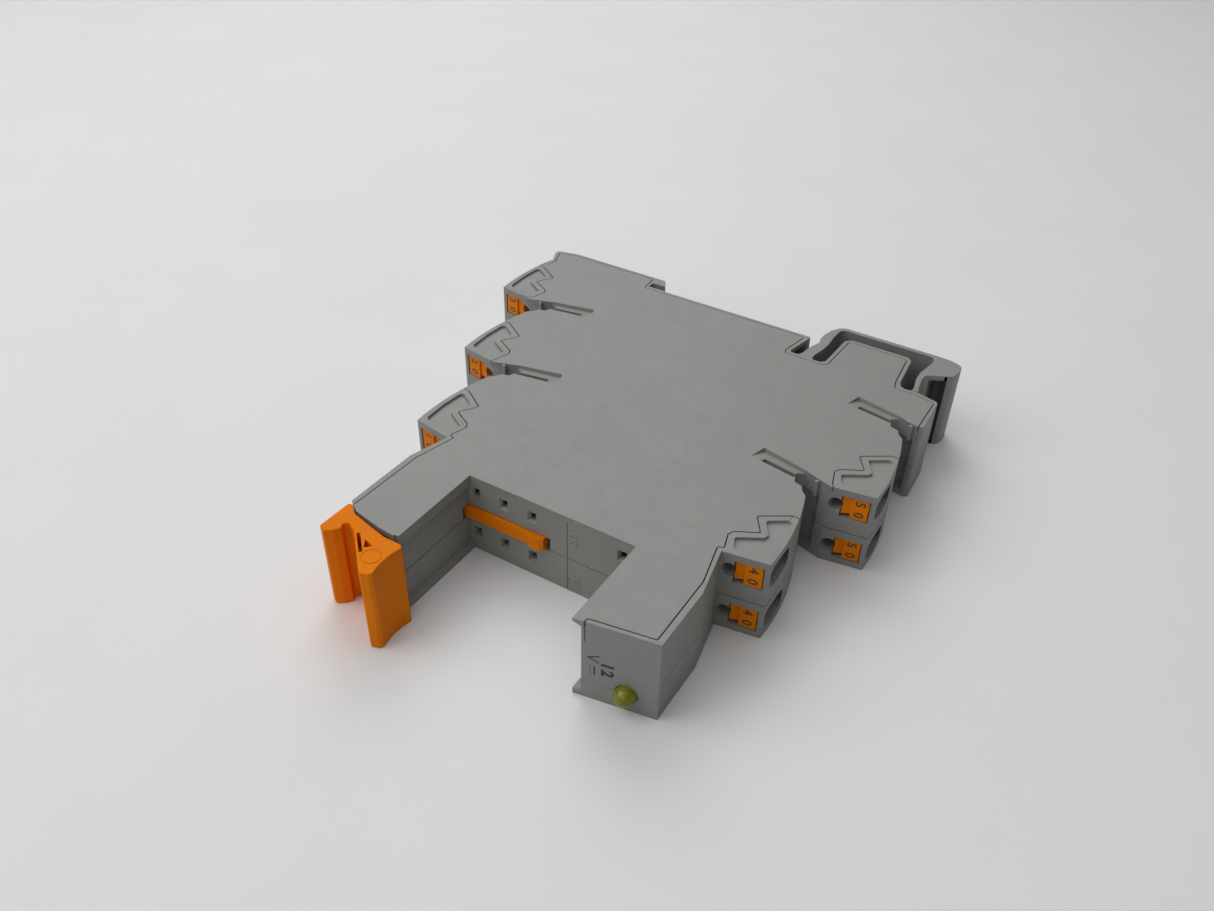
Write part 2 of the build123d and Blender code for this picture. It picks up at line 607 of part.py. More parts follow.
def led_leads():
    """Two square wires, back from the lamp and up into the board."""
    x, z = LED_CENTRE
    wires = []
    for hand in (-1, 1):
        line = x + hand * 1.27
        run = block(line - 0.25, line + 0.25, -11.2, -9.35, z - 0.25, z + 0.25)
        rise = block(line - 0.25, line + 0.25, -9.85, -9.35, z - 0.25, BOARD_Z[0])
        wires.append(run + rise)
    return Compound(wires)


def resistor():
    body = Pos(19.8, -4.0, BOARD_Z[1] + 1.2) * Rot(90, 0, 0) * Cylinder(1.1, 5.6)
    for y in (-7.9, -0.1):
        body += block(19.55, 20.05, y - 0.25, y + 0.25, BOARD_Z[1], BOARD_Z[1] + 1.45)
    return body + block(19.55, 20.05, -8.0, 0.0, BOARD_Z[1] + 0.95, BOARD_Z[1] + 1.45)


def diode():
    body = Pos(14.0, 10.5, BOARD_Z[1] + 1.3) * Rot(90, 0, 0) * Cylinder(1.25, 4.4)
    for y in (7.2, 13.8):
        body += block(13.75, 14.25, y - 0.25, y + 0.25, BOARD_Z[1], BOARD_Z[1] + 1.55)
    return body + block(13.75, 14.25, 7.1, 13.9, BOARD_Z[1] + 1.05, BOARD_Z[1] + 1.55)


def rectifier():
    body = block(10.6, 15.2, 15.6, 20.2, BOARD_Z[1] + 0.4, BOARD_Z[1] + 3.0)
    for x in (11.4, 14.4):
        for y in (15.2, 20.6):
            inner = 16.0 if y < 18 else 19.8
            body += block(x - 0.3, x + 0.3, min(y, inner), max(y, inner), BOARD_Z[1] + 0.8, BOARD_Z[1] + 1.1)
            body += block(x - 0.3, x + 0.3, y - 0.15, y + 0.15, BOARD_Z[1], BOARD_Z[1] + 1.1)
    return body


# ---- write every piece ----
os.makedirs("parts", exist_ok=True)
save(lower_housing(), "lower_housing")
save(upper_housing(), "upper_housing")
save(side_cover(), "side_cover")
save(din_foot(), "din_foot")
save(retaining_bracket(), "retaining_bracket")
save(bracket_pivot_pin(), "bracket_pivot_pin")
for side_name, tier_index, level_name, level_z in every_terminal():
    label = f"{side_name}_{tier_index + 1}_{level_name}"
    save(carry(pusher(level_z), tier_index, side_name), f"pusher_{label}")
    save(carry(clamp_spring(level_z), tier_index, side_name), f"clamp_spring_{label}")
for tier_index in TIERS["left"]:
    for level_name in LEVELS:
        save(contact_bar(tier_index, level_name), f"contact_bar_{tier_index + 1}_{level_name}")
for tier_index in TIERS["right"]:
    save(supply_bar(tier_index), f"supply_bar_{tier_index + 1}")
for level_name in LEVELS:
    save(coil_socket(level_name), f"coil_socket_{level_name}")
save(circuit_board(), "circuit_board")
save(led_lens(), "led_lens")
save(led_leads(), "led_leads")
save(resistor(), "series_resistor")
save(diode(), "flyback_diode")
save(rectifier(), "bridge_rectifier")
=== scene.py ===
import bmesh
import bpy
import json
import math
from mathutils import Matrix, Vector


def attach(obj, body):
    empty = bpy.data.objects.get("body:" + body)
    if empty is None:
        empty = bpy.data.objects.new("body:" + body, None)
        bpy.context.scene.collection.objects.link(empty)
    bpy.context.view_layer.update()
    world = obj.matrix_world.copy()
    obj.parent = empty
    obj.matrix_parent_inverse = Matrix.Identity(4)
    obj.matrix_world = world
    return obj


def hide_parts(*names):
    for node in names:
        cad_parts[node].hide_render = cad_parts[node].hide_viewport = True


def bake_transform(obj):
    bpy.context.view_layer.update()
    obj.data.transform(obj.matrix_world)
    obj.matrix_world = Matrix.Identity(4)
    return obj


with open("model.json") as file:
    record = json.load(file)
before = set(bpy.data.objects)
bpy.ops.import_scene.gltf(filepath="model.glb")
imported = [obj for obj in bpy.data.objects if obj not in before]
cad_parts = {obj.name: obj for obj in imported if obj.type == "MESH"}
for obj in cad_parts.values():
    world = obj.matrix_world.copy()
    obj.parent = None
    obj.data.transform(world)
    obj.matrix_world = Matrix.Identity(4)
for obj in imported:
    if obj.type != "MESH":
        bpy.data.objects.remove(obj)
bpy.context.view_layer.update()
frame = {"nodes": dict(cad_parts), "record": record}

# A relay base lying on its side. Lengths below are in millimetres from the part's datum, which is midway
# between the terminal stacks (x), on the relay bay's floor (y) and on the underside (z).
MM = 0.001
DATUM = Vector((3.5, -22.95, 0.0))
WIDTH = 14.0
SKIN = 1.0

TIERS = {"left": 3, "right": 2}
LEVELS = {"lower": 3.0, "upper": 10.85}
TIER_STEP = Vector((7.0, 20.8, 0.0))
FACE_CORNER = Vector((23.2, 5.45, 0.0))
FACE_ANGLE = math.radians(8.9)
PUSHER_FACE = 0.15
PUSHER_PRINT = {"left": ("10", "20", "30"), "right": ("40", "50")}

LAMP_ARM_CORNER = Vector((13.1, -15.56, 0.0))
LAMP_ARM_ANGLE = math.radians(10.0)
LAMP_CENTRE = (20.5, 3.0)
LAMP_RADIUS = 1.5

ORIGIN = Vector((0.0, 0.0, 0.0))
RIGHT = Vector((1.0, 0.0, 0.0))
REAR = Vector((0.0, 1.0, 0.0))
UP = Vector((0.0, 0.0, 1.0))


def at(x, y, z):
    """A datum point, in metres in the frame."""
    return (Vector((x, y, z)) + DATUM) * MM


# ---- materials ----
class Finish:
    """One node-based material: a Principled shader and the textures that feed it."""

    def __init__(self, name, **constants):
        self.material = bpy.data.materials.new(name)
        self.material.use_nodes = True
        self.tree = self.material.node_tree
        self.shader = self.tree.nodes["Principled BSDF"]
        for socket, value in constants.items():
            self.shader.inputs[socket.replace("_", " ")].default_value = value
        self.place = self.node("ShaderNodeTexCoord").outputs["Object"]

    def node(self, kind, **settings):
        made = self.tree.nodes.new(kind)
        for key, value in settings.items():
            setattr(made, key, value)
        return made

    def feed(self, source, socket):
        """Links another node's output to a socket, or sets the socket to a grey or a colour."""
        if isinstance(source, bpy.types.NodeSocket):
            self.tree.links.new(source, socket)
        elif isinstance(source, float) and socket.type == "RGBA":
            socket.default_value = (source, source, source, 1.0)
        elif isinstance(source, float):
            socket.default_value = source
        else:
            socket.default_value = (*source, 1.0)

    def stretched(self, stretch):
        mapping = self.node("ShaderNodeMapping")
        mapping.inputs["Scale"].default_value = stretch
        self.feed(self.place, mapping.inputs["Vector"])
        return mapping.outputs["Vector"]

    def noise(self, size, detail=2.0, stretch=(1, 1, 1)):
        """Noise whose blotches are about size millimetres across."""
        noise = self.node("ShaderNodeTexNoise")
        noise.inputs["Scale"].default_value = 1.0 / (size * MM)
        noise.inputs["Detail"].default_value = detail
        self.feed(self.stretched(stretch), noise.inputs["Vector"])
        return noise.outputs["Fac"]

    def cells(self, size, distance="CHEBYCHEV", stretch=(1, 1, 1)):
        """Distance to the nearest of many points about size millimetres apart."""
        cells = self.node("ShaderNodeTexVoronoi", distance=distance)
        cells.inputs["Scale"].default_value = 1.0 / (size * MM)
        self.feed(self.stretched(stretch), cells.inputs["Vector"])
        return cells.outputs["Distance"]

    def along(self, axis, start, end):
        """0 to 1 from one datum place to another along an axis."""
        split = self.node("ShaderNodeSeparateXYZ")
        self.feed(self.place, split.inputs["Vector"])
        span = self.node("ShaderNodeMapRange")
        shift = DATUM["XYZ".index(axis)]
        span.inputs["From Min"].default_value = (start + shift) * MM
        span.inputs["From Max"].default_value = (end + shift) * MM
        self.feed(split.outputs[axis], span.inputs["Value"])
        return span.outputs["Result"]

    def ramp(self, source, *stops, steps=False):
        """A colour ramp; each stop is a place and a grey or a colour."""
        ramp = self.node("ShaderNodeValToRGB")
        if steps:
            ramp.color_ramp.interpolation = "CONSTANT"
        while len(ramp.color_ramp.elements) < len(stops):
            ramp.color_ramp.elements.new(0.5)
        for element, (place, value) in zip(ramp.color_ramp.elements, stops):
            colour = (value,) * 3 if isinstance(value, float) else value
            element.position = place
            element.color = (*colour, 1.0)
        self.feed(source, ramp.inputs["Fac"])
        return ramp.outputs["Color"]

    def mix(self, kind, share, first, second):
        """Blends two colours; each of the three may be a value or another node's output."""
        mix = self.node("ShaderNodeMix", data_type="RGBA", blend_type=kind)
        for name, source in (("Factor_Float", share), ("A_Color", first), ("B_Color", second)):
            self.feed(source, next(socket for socket in mix.inputs if socket.identifier == name))
        return next(socket for socket in mix.outputs if socket.identifier == "Result_Color")

    def colour(self, source):
        self.feed(source, self.shader.inputs["Base Color"])

    def roughness(self, source):
        self.feed(source, self.shader.inputs["Roughness"])

    def metallic(self, source):
        self.feed(source, self.shader.inputs["Metallic"])

    def speckled(self, source, size, low):
        """A colour multiplied by specks of low to 1, about size millimetres across."""
        specks = self.ramp(self.noise(size, 3), (0.3, low), (0.7, 1.0))
        return self.mix("MULTIPLY", 1.0, source, specks)

    def bump(self, height, depth):
        """Relief of the given depth in millimetres, on top of any relief added before."""
        bump = self.node("ShaderNodeBump")
        bump.inputs["Distance"].default_value = depth * MM
        self.feed(height, bump.inputs["Height"])
        normal = self.shader.inputs["Normal"]
        if normal.is_linked:
            self.feed(normal.links[0].from_socket, bump.inputs["Normal"])
        self.feed(bump.outputs["Normal"], normal)


def moulded(name, dark, light, gloss, grain, **constants):
    """A moulded plastic: clouded tone, fine eroded grain, faint and slightly glossier handling marks."""
    finish = Finish(name, **constants)
    tone = finish.ramp(finish.noise(11, 4), (0.3, dark), (0.7, light))
    tone = finish.speckled(tone, 0.3, 0.93)
    smudge = finish.ramp(finish.noise(4.5, 5), (0.56, 0.0), (0.72, 1.0))
    finish.colour(finish.mix("MULTIPLY", smudge, tone, (0.965, 0.97, 0.965)))
    sheen = finish.ramp(finish.noise(2.2, 4), (0.3, gloss), (0.7, gloss + 0.1))
    finish.roughness(finish.mix("MULTIPLY", smudge, sheen, 0.88))
    finish.bump(finish.noise(0.22, 3), grain)
    finish.bump(finish.noise(2.6, 2), 0.02)
    return finish.material


def spring_steel():
    finish = Finish("spring_steel", Metallic=1.0, IOR=2.5)
    drawn = finish.noise(0.5, 4, stretch=(6, 6, 0.4))
    finish.colour(finish.ramp(drawn, (0.3, (0.50, 0.50, 0.49)), (0.7, (0.64, 0.63, 0.61))))
    finish.roughness(finish.ramp(drawn, (0.3, 0.24), (0.7, 0.40)))
    finish.bump(drawn, 0.006)
    return finish.material


def tinned_copper():
    finish = Finish("tinned_copper", Metallic=1.0)
    worn = finish.ramp(finish.noise(1.6, 5), (0.58, 0.0), (0.66, 1.0))
    tin = finish.ramp(finish.noise(0.8, 3), (0.3, (0.66, 0.65, 0.61)), (0.7, (0.76, 0.74, 0.69)))
    finish.colour(finish.mix("MIX", worn, tin, (0.72, 0.52, 0.38)))
    finish.roughness(finish.ramp(finish.noise(0.6, 4), (0.3, 0.28), (0.7, 0.46)))
    finish.bump(finish.noise(0.35, 3, stretch=(1, 1, 5)), 0.008)
    return finish.material


def board_laminate():
    """Green solder resist over tracks, with tinned pads."""
    finish = Finish("board_laminate", IOR=1.55)
    tracks = finish.ramp(finish.cells(2.6, "MANHATTAN"), (0.42, 0.0), (0.46, 1.0))
    pads = finish.ramp(finish.cells(3.4, "EUCLIDEAN"), (0.10, 1.0), (0.12, 0.0))
    resist = finish.mix("MIX", tracks, (0.012, 0.105, 0.035), (0.025, 0.19, 0.06))
    finish.colour(finish.mix("MIX", pads, resist, (0.55, 0.54, 0.50)))
    finish.metallic(pads)
    finish.roughness(finish.ramp(finish.noise(1.0, 4), (0.3, 0.26), (0.7, 0.4)))
    finish.bump(tracks, 0.03)
    return finish.material


def resistor_coating():
    """Lacquered film resistor: coloured bands round the body, tinned leads past its ends."""
    finish = Finish("resistor_coating", IOR=1.5)
    blue, lead = (0.10, 0.26, 0.36), (0.60, 0.59, 0.56)
    red, black = (0.35, 0.02, 0.01), (0.02, 0.02, 0.02)
    orange, gold = (0.45, 0.15, 0.01), (0.35, 0.20, 0.04)
    stops = [(0.0, lead), (0.13, blue), (0.24, red), (0.30, blue), (0.40, black), (0.46, blue),
             (0.56, orange), (0.62, blue), (0.76, gold), (0.82, blue), (0.87, lead)]
    place = finish.along("Y", -8.0, 0.0)
    bands = finish.ramp(place, *stops, steps=True)
    finish.colour(finish.speckled(bands, 0.7, 0.85))
    finish.metallic(finish.ramp(place, (0.0, 1.0), (0.13, 0.0), (0.87, 1.0), steps=True))
    finish.roughness(finish.ramp(finish.noise(1.0, 3), (0.3, 0.25), (0.7, 0.38)))
    finish.bump(finish.noise(0.5, 3), 0.02)
    return finish.material


def black_epoxy(name, axis, start, end):
    """A moulded component: a pale stripe near one end and tinned leads past both."""
    finish = Finish(name, IOR=1.5)
    black, lead = (0.018, 0.018, 0.020), (0.60, 0.59, 0.56)
    place = finish.along(axis, start, end)
    body = finish.ramp(place, (0.0, lead), (0.1, black), (0.72, (0.5, 0.5, 0.5)), (0.8, black), (0.9, lead),
                       steps=True)
    finish.colour(finish.speckled(body, 0.5, 0.8))
    finish.metallic(finish.ramp(place, (0.0, 1.0), (0.1, 0.0), (0.9, 1.0), steps=True))
    finish.roughness(finish.ramp(finish.noise(0.9, 4), (0.3, 0.42), (0.7, 0.6)))
    finish.bump(finish.noise(0.25, 3), 0.015)
    return finish.material


def lamp_epoxy():
    """Tinted, slightly cloudy epoxy."""
    finish = Finish("lamp_epoxy", IOR=1.52, Transmission_Weight=0.45)
    cloud = finish.noise(0.9, 3)
    finish.colour(finish.ramp(cloud, (0.35, (0.30, 0.29, 0.004)), (0.65, (0.42, 0.40, 0.008))))
    finish.roughness(finish.ramp(cloud, (0.3, 0.10), (0.7, 0.2)))
    finish.bump(finish.noise(0.5, 2), 0.01)
    return finish.material


def ink(name, colour):
    """Pad-printed ink, thinner in places."""
    finish = Finish(name, IOR=1.5)
    finish.colour(finish.ramp(finish.noise(0.35, 4), (0.3, colour), (0.75, [1.5 * part for part in colour])))
    finish.roughness(finish.ramp(finish.noise(0.4, 3), (0.3, 0.45), (0.7, 0.62)))
    finish.bump(finish.noise(0.15, 3), 0.01)
    return finish.material


MATERIALS = {
    "grey_plastic": moulded("grey_plastic", (0.256, 0.263, 0.247), (0.272, 0.277, 0.260), 0.46, 0.010),
    "orange_plastic": moulded("orange_plastic", (0.80, 0.200, 0.001), (0.88, 0.228, 0.002), 0.42, 0.006,
                              Specular_IOR_Level=0.06),
    "spring_steel": spring_steel(),
    "tinned_copper": tinned_copper(),
    "board_laminate": board_laminate(),
    "resistor_coating": resistor_coating(),
    "led_epoxy": lamp_epoxy(),
}
# A lighter grey for the bay's raised marks: a painted highlight, lightening the whole mark in place of the
# light its raised edges catch.
PAINTED_HIGHLIGHT_GREY = moulded("painted_highlight_grey", (0.32, 0.325, 0.31), (0.36, 0.365, 0.35), 0.40, 0.010)
DIODE = black_epoxy("diode_epoxy", "Y", 7.6, 13.4)
RECTIFIER = black_epoxy("rectifier_epoxy", "Y", 14.8, 21.0)
OLIVE_INK = ink("olive_ink", (0.095, 0.058, 0.010))
GREY_INK = ink("grey_ink", (0.020, 0.020, 0.020))


def dress(thing, material):
    thing.data.materials.clear()
    thing.data.materials.append(material)


def smooth_below(angle):
    """A node group that shades every surface smooth, except across edges sharper than an angle."""
    group = bpy.data.node_groups.new("smooth_below", "GeometryNodeTree")
    group.interface.new_socket("Geometry", in_out="INPUT", socket_type="NodeSocketGeometry")
    group.interface.new_socket("Geometry", in_out="OUTPUT", socket_type="NodeSocketGeometry")
    kinds = ("NodeGroupInput", "GeometryNodeInputMeshEdgeAngle", "FunctionNodeCompare",
             "GeometryNodeSetShadeSmooth", "GeometryNodeSetShadeSmooth", "NodeGroupOutput")
    start, edge, gentle, edges, faces, end = (group.nodes.new(kind) for kind in kinds)
    gentle.operation = "LESS_THAN"
    gentle.inputs["B"].default_value = angle
    edges.domain = "EDGE"
    group.links.new(edge.outputs["Unsigned Angle"], gentle.inputs["A"])
    group.links.new(gentle.outputs["Result"], edges.inputs["Shade Smooth"])
    for giver, taker in ((start, faces), (faces, edges), (edges, end)):
        group.links.new(giver.outputs["Geometry"], taker.inputs["Geometry"])
    return group


SMOOTH = smooth_below(math.radians(32))
ROUNDED = smooth_below(math.radians(55))
BEVEL_ABOVE = math.radians(28)


def shade(thing, group=SMOOTH):
    smooth = thing.modifiers.new("Smooth", "NODES")
    smooth.node_group = group
    weighted = thing.modifiers.new("Weighted normals", "WEIGHTED_NORMAL")
    weighted.keep_sharp = True


def add_bevel(thing, radius, clamp=False):
    bevel = thing.modifiers.new("Round edges", "BEVEL")
    bevel.width = radius * MM
    bevel.segments = 2
    bevel.limit_method = "ANGLE"
    bevel.angle_limit = BEVEL_ABOVE
    bevel.use_clamp_overlap = clamp


def soften(thing, radius, clamp=False, group=SMOOTH):
    """Rounds a CAD piece's sharp edges a little, as moulding or stamping does."""
    weld = thing.modifiers.new("Weld", "WELD")
    weld.merge_threshold = 1e-6
    if radius:
        flat = thing.modifiers.new("Flat faces", "DECIMATE")
        flat.decimate_type = "DISSOLVE"
        flat.angle_limit = math.radians(0.5)
        add_bevel(thing, radius, clamp)
    shade(thing, group)


# ---- the CAD pieces' finishes ----
SLOTS = {part["node"]: part["material_slot"] for part in frame["record"]["subparts"]}
OWN_FINISHES = {"flyback_diode": DIODE, "bridge_rectifier": RECTIFIER}
# Edge rounding in millimetres; 0 leaves a piece's edges as they are in the CAD.
EDGE_RADII = {"lower_housing": 0.0, "upper_housing": 0.08, "side_cover": 0.08, "retaining_bracket": 0.0}
USUAL_EDGE = 0.06
for name, node in frame["nodes"].items():
    dress(node, OWN_FINISHES.get(name) or MATERIALS[SLOTS[name]])
    shading = ROUNDED if name == "retaining_bracket" else SMOOTH
    soften(node, EDGE_RADII.get(name, USUAL_EDGE), name == "side_cover", shading)


# ---- mesh helpers ----
def piece(name, form, material, body="housing"):
    """Makes a bmesh, drawn in datum millimetres, into a piece of the model that rides on a body."""
    bmesh.ops.recalc_face_normals(form, faces=form.faces)
    mesh = bpy.data.meshes.new(name)
    form.to_mesh(mesh)
    form.free()
    mesh.transform(Matrix.Scale(MM, 4) @ Matrix.Translation(DATUM))
    thing = bpy.data.objects.new(name, mesh)
    bpy.context.scene.collection.objects.link(thing)
    dress(thing, material)
    if body:
        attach(thing, body)
    return thing


def extruded(form, outline, across, up, out, origin, low, high):
    """Adds a prism: an outline in the across and up directions, from low to high in the out direction."""
    rings = []
    for depth in (low, high):
        ring = [origin + a * across + b * up + depth * out for a, b in outline]
        rings.append([form.verts.new(point) for point in ring])
    form.faces.new(rings[0])
    form.faces.new(rings[1])
    for index in range(len(outline)):
        after = (index + 1) % len(outline)
        form.faces.new((rings[0][index], rings[0][after], rings[1][after], rings[1][index]))


def rounded(points, radius):
    """A closed outline with each corner turned on a curve of about this radius, where there is room."""
    corners = [complex(*point) for point in points]
    line = []
    for before, corner, after in zip(corners[-1:] + corners, corners, corners[1:] + corners[:1]):
        back = (before - corner) / abs(before - corner)
        ahead = (after - corner) / abs(after - corner)
        reach = radius * abs(back + ahead) / abs(back - ahead)
        reach = min(reach, 0.48 * abs(before - corner), 0.48 * abs(after - corner))
        shares = [step / 6 for step in range(7)] if reach > 0.05 else (0.5,)
        line += [corner + reach * (back * (1 - share) ** 2 + ahead * share ** 2) for share in shares]
    return [(point.real, point.imag) for point in line]


def divided(points, longest):
    """A closed outline whose long sides are cut into stretches no longer than this."""
    line = []
    for start, end in zip(points, points[1:] + points[:1]):
        count = max(1, math.ceil(math.dist(start, end) / longest))
        for index in range(count):
            share = index / count
            line.append((start[0] + share * (end[0] - start[0]), start[1] + share * (end[1] - start[1])))
    return line


def frozen(thing):
    """Swaps a thing's mesh for the one its modifiers make."""
    bpy.context.view_layer.update()
    shaped = thing.evaluated_get(bpy.context.evaluated_depsgraph_get())
    thing.data = bpy.data.meshes.new_from_object(shaped)
    thing.modifiers.clear()


# ---- rail foot: one moulding with the housing, with two thin legs ----
FOOT_ROOT = 56.9


def rail_foot():
    outline = [(11.7, FOOT_ROOT), (12.15, 57.6), (12.55, 60.2), (13.35, 62.5), (13.0, 63.6), (13.0, 65.0),
               (13.5, 67.3), (14.5, 68.9), (15.5, 69.5), (31.5, 69.5), (34.2, 69.35), (35.7, 68.95),
               (36.6, 68.4), (36.8, 67.4), (36.75, 66.1), (36.5, 64.6), (32.3, 62.4), (32.25, 60.5),
               (32.7, 57.7), (33.0, FOOT_ROOT),
               (31.75, FOOT_ROOT), (31.85, 57.7), (31.3, 60.5), (31.25, 62.8), (32.0, 66.8), (31.95, 68.0),
               (31.4, 68.6), (15.6, 68.6), (15.05, 68.0), (14.85, 65.5), (15.0, 62.5), (14.8, 60.5),
               (14.2, 57.8), (14.5, FOOT_ROOT)]
    pocket = [(32.9, 60.5), (35.5, 61.8), (35.4, 67.6), (32.9, 68.0)]
    axes = (RIGHT, REAR, UP, ORIGIN)
    form = bmesh.new()
    extruded(form, divided(rounded(outline, 1.2), 0.5), *axes, 0.0, WIDTH)
    foot = piece("sprung_foot", form, MATERIALS["grey_plastic"], body=None)
    form = bmesh.new()
    extruded(form, rounded(pocket, 0.6), *axes, SKIN, WIDTH - SKIN)
    cutter = piece("pocket_cutter", form, MATERIALS["grey_plastic"], body=None)
    cut = foot.modifiers.new("Pocket", "BOOLEAN")
    cut.operation = "DIFFERENCE"
    cut.solver = "EXACT"
    cut.object = cutter
    frozen(foot)
    bpy.data.objects.remove(cutter)
    add_bevel(foot, 0.15)
    shade(foot)
    frozen(foot)
    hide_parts("din_foot")
    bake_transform(foot)


rail_foot()


# ---- printing ----
PUSHER_FIGURE_HEIGHT = 1.5
PUSHER_FIGURE_RISES = (1.1, -0.9)
PUSHER_FIGURE_REACH = 4.65
LAMP_ARM_FIGURE_HEIGHT = 1.8
LAMP_ARM_FIGURE_REACH = 4.9


def glyph(form, mark, centre, up, out, height, weight=0.03):
    """Adds one printed character, its middle at a datum point and its top towards up."""
    curve = bpy.data.curves.new("glyph", "FONT")
    curve.body = mark
    curve.resolution_u = 4
    curve.extrude = 0.004
    curve.offset = weight
    text = bpy.data.objects.new("glyph", curve)
    bpy.context.scene.collection.objects.link(text)
    bpy.context.view_layer.update()
    mesh = bpy.data.meshes.new_from_object(text)
    bpy.data.objects.remove(text)
    low = [min(vertex.co[axis] for vertex in mesh.vertices) for axis in range(3)]
    high = [max(vertex.co[axis] for vertex in mesh.vertices) for axis in range(3)]
    middle = Vector([(a + b) / 2 for a, b in zip(low, high)])
    turn = Matrix((up.cross(out), up, out)).transposed().to_4x4()
    scale = height / (high[1] - low[1])
    place = Matrix.Translation(centre) @ turn @ Matrix.Scale(scale, 4) @ Matrix.Translation(-middle)
    mesh.transform(place)
    form.from_mesh(mesh)


def terminal_axes(side, tier):
    """The first corner of a terminal's face, and the directions outward along it and out of it."""
    hand = 1 if side == "right" else -1
    corner = FACE_CORNER + tier * TIER_STEP
    along = Vector((hand * math.cos(FACE_ANGLE), math.sin(FACE_ANGLE), 0.0))
    out = Vector((hand * math.sin(FACE_ANGLE), -math.cos(FACE_ANGLE), 0.0))
    return Vector((hand * corner.x, corner.y, 0.0)), along, out


def pusher_printing(side, tier, level):
    """A two-figure number on the pusher's face, with the figures' tops towards +X."""
    corner, along, out = terminal_axes(side, tier)
    up = along if side == "right" else -along
    form = bmesh.new()
    for figure, rise in zip(PUSHER_PRINT[side][tier], PUSHER_FIGURE_RISES):
        middle = corner + PUSHER_FIGURE_REACH * along - PUSHER_FACE * out + (LEVELS[level] + rise) * UP
        glyph(form, figure, middle, up, out, PUSHER_FIGURE_HEIGHT)
    name = f"{side}_{tier + 1}_{level}"
    piece(f"print_{name}", form, OLIVE_INK, body=f"pusher_{name}")


for side, count in TIERS.items():
    for tier in range(count):
        for level in LEVELS:
            pusher_printing(side, tier, level)


def lamp_arm_printing():
    """A number, an arrowhead, a bar and a row of dashes on the end of the lamp's arm."""
    along = Vector((math.cos(LAMP_ARM_ANGLE), math.sin(LAMP_ARM_ANGLE), 0.0))
    out = Vector((math.sin(LAMP_ARM_ANGLE), -math.cos(LAMP_ARM_ANGLE), 0.0))
    form = bmesh.new()
    for figure, height in (("1", 7.15), ("2", 5.75)):
        middle = LAMP_ARM_CORNER + LAMP_ARM_FIGURE_REACH * along + height * UP
        glyph(form, figure, middle, along, out, LAMP_ARM_FIGURE_HEIGHT, 0.05)
    arrowhead = [(8.6, 3.75), (7.88, 1.95), (7.15, 3.75), (7.38, 3.75), (7.88, 2.5), (8.37, 3.75)]
    dashes = [(low, high, 2.45, 2.57) for low, high in ((4.85, 5.2), (5.45, 5.8), (6.05, 6.4))]
    bars = [[(low, near), (high, near), (high, far), (low, far)]
            for low, high, near, far in [(4.75, 6.4, 2.98, 3.2), *dashes]]
    for outline in [arrowhead, *bars]:
        extruded(form, outline, UP, along, out, LAMP_ARM_CORNER, -0.02, 0.01)
    piece("print_lamp_arm", form, GREY_INK)


lamp_arm_printing()


# ---- raised marks on the bay's floor ----
MARK_HEIGHT = 0.12
MARK_ROOT = 0.02


def ring(radius, width):
    """The outer and inner outlines of a flat ring."""
    turns = [math.tau * index / 28 for index in range(28)]
    return [[(reach * math.cos(turn), reach * math.sin(turn)) for turn in turns]
            for reach in (radius, radius - width)]


def raised_frame(form, outer, inner, centre):
    """Adds a raised line between two outlines with the same number of points, on the bay's floor."""
    loops = []
    rims = ((outer, MARK_ROOT), (outer, -MARK_HEIGHT), (inner, -MARK_HEIGHT), (inner, MARK_ROOT))
    for outline, depth in rims:
        loops.append([form.verts.new((centre[0] + a, depth, centre[1] + b)) for a, b in outline])
    for first, second in zip(loops, loops[1:] + loops[:1]):
        for index in range(len(outer)):
            after = (index + 1) % len(outer)
            form.faces.new((first[index], first[after], second[after], second[index]))


def bay_marks():
    """Moulder's marks: a ring with a bar, and a ring in a box."""
    form = bmesh.new()
    raised_frame(form, *ring(0.65, 0.2), (3.2, 10.9))
    raised_frame(form, *ring(0.45, 0.18), (3.15, 2.1))
    for centre, half, line in (((3.15, 2.1), (0.85, 0.9), 0.13), ((3.2, 9.55), (0.55, 0.3), 0.14)):
        outer = [(-half[0], -half[1]), (half[0], -half[1]), (half[0], half[1]), (-half[0], half[1])]
        inner = [(a * (1 - line / half[0]), b * (1 - line / half[1])) for a, b in outer]
        raised_frame(form, outer, inner, centre)
    # The marks are dressed in the lighter grey, a painted highlight.
    marks = piece("bay_marks", form, PAINTED_HIGHLIGHT_GREY)
    add_bevel(marks, 0.04)
    shade(marks)


bay_marks()


# ---- lamp ----
BARREL_END = -14.5
DOME_RISE = 1.62
DOME_STEPS = 12
LENS_SIDES = 48


def lamp_lens():
    """The lamp's epoxy: a long dome on a barrel, with a collar behind the housing's end wall."""
    profile = [(0.0, -11.2), (1.9, -11.2), (1.9, -12.15), (1.82, -12.2), (LAMP_RADIUS, -12.25),
               (LAMP_RADIUS, BARREL_END)]
    for index in range(1, DOME_STEPS):
        turn = math.radians(90 * index / DOME_STEPS)
        profile.append((LAMP_RADIUS * math.cos(turn), BARREL_END - DOME_RISE * math.sin(turn)))
    profile.append((0.0, BARREL_END - DOME_RISE))
    form = bmesh.new()
    loops = []
    for radius, y in profile:
        turns = [math.tau * index / LENS_SIDES for index in range(LENS_SIDES if radius else 1)]
        loops.append([form.verts.new((LAMP_CENTRE[0] + radius * math.cos(turn), y,
                                      LAMP_CENTRE[1] + radius * math.sin(turn))) for turn in turns])
    for first, second in zip(loops, loops[1:]):
        for index in range(LENS_SIDES):
            after = (index + 1) % LENS_SIDES
            corners = [first[index % len(first)], first[after % len(first)], second[after % len(second)],
                       second[index % len(second)]]
            form.faces.new(list(dict.fromkeys(corners)))
    for face in form.faces:
        face.smooth = True
    lens = piece("lamp_lens", form, MATERIALS["led_epoxy"])
    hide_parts("led_lens")


